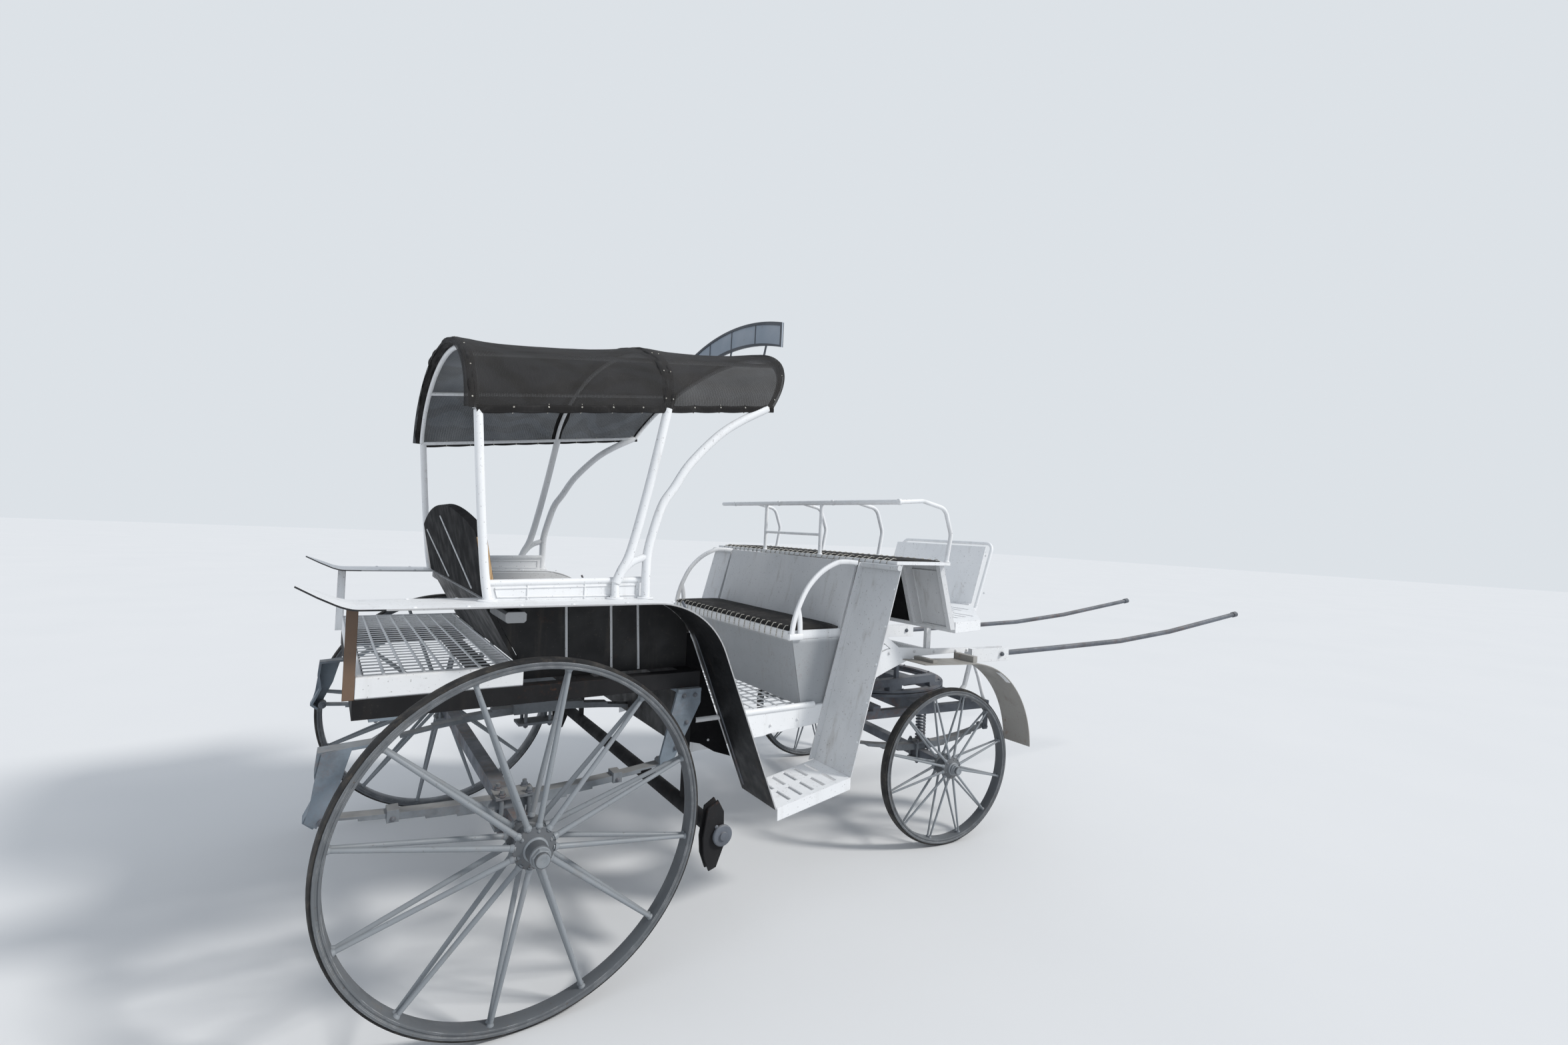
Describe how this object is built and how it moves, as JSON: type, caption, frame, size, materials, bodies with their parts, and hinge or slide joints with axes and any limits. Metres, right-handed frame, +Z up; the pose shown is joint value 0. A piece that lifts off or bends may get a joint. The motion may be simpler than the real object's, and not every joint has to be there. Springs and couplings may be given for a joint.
{
  "type": "horse drawn carriage",
  "caption": "Open four-wheeled passenger carriage with a hooped shade canopy, facing seats, a raised driver seat, steered front axle and hinged shafts.",
  "frame": {"origin": "bottom centre of the bounding box, on the ground", "axes": "+X forwards towards the shafts, +Y to the left, +Z up"},
  "size_m": [5.6858, 2.11, 2.5159],
  "materials": {
    "white_paint": "gloss",
    "grey_paint": "satin",
    "dark_paint": "satin",
    "tyre": "matte",
    "dark_cloth": "matte",
    "seat_mat": "matte",
    "shade_net": "matte"
  },
  "bodies": {
    "body": {"arch_plates": "white_paint", "armrests": "white_paint", "brake_beam": "dark_paint", "canopy_crescent": "white_paint", "canopy_hoops": "white_paint", "canopy_net": "shade_net", "canopy_posts": "white_paint", "chassis_rails": "dark_paint", "dash_panel": "white_paint", "driver_seat_frame": "white_paint", "driver_seat_mat": "seat_mat", "driver_wall": "white_paint", "footboard": "white_paint", "footwell_floor": "white_paint", "front_bench_back": "white_paint", "front_bench_base": "white_paint", "front_bench_pad": "seat_mat", "front_mudguards": "white_paint", "platform_posts": "white_paint", "rear_axle": "grey_paint", "rear_platform": "white_paint", "rear_seat_back": "dark_cloth", "rear_seat_box": "dark_paint", "rear_seat_pad": "dark_cloth", "rear_springs": "grey_paint", "seat_side_panels": "white_paint", "side_fenders": "white_paint", "slant_plates": "white_paint", "spring_irons": "grey_paint", "steps": "white_paint", "turntable_upper": "dark_paint"},
    "forecarriage": {"front_axle": "grey_paint", "front_springs": "grey_paint", "forecarriage_frame": "dark_paint", "shaft_forks": "white_paint"},
    "shaft_left": {"shaft_left": "dark_paint"},
    "shaft_right": {"shaft_right": "dark_paint"},
    "wheel_rear_left": {"wheel_frame_rear_left": "grey_paint", "tyre_rear_left": "tyre"},
    "wheel_rear_right": {"wheel_frame_rear_right": "grey_paint", "tyre_rear_right": "tyre"},
    "wheel_front_left": {"wheel_frame_front_left": "grey_paint", "tyre_front_left": "tyre"},
    "wheel_front_right": {"wheel_frame_front_right": "grey_paint", "tyre_front_right": "tyre"}
  },
  "joints": [
    {"name": "steer", "type": "hinge", "parent": "body", "child": "forecarriage", "pos_m": [-0.08789, 0, 0.668], "axis": [0, 0, 1], "range_deg": [-2, 16]},
    {"name": "rear_left_spin", "type": "hinge", "parent": "body", "child": "wheel_rear_left", "pos_m": [-2.22989, 0.915, 0.55], "axis": [0, 1, 0], "continuous": true},
    {"name": "front_left_spin", "type": "hinge", "parent": "forecarriage", "child": "wheel_front_left", "pos_m": [-0.00319, 0.68982, 0.385], "axis": [0.1219, 0.9925, 0], "continuous": true},
    {"name": "shaft_left_pivot", "type": "hinge", "parent": "forecarriage", "child": "shaft_left", "pos_m": [0.53324, 0.35696, 0.873], "axis": [0.1219, 0.9925, 0], "range_deg": [-20, 25]},
    {"name": "rear_right_spin", "type": "hinge", "parent": "body", "child": "wheel_rear_right", "pos_m": [-2.22989, -0.915, 0.55], "axis": [0, 1, 0], "continuous": true},
    {"name": "front_right_spin", "type": "hinge", "parent": "forecarriage", "child": "wheel_front_right", "pos_m": [-0.17259, -0.68982, 0.385], "axis": [0.1219, 0.9925, 0], "continuous": true},
    {"name": "shaft_right_pivot", "type": "hinge", "parent": "forecarriage", "child": "shaft_right", "pos_m": [0.42843, -0.49663, 0.873], "axis": [0.1219, 0.9925, 0], "range_deg": [-20, 25]}
  ]
}
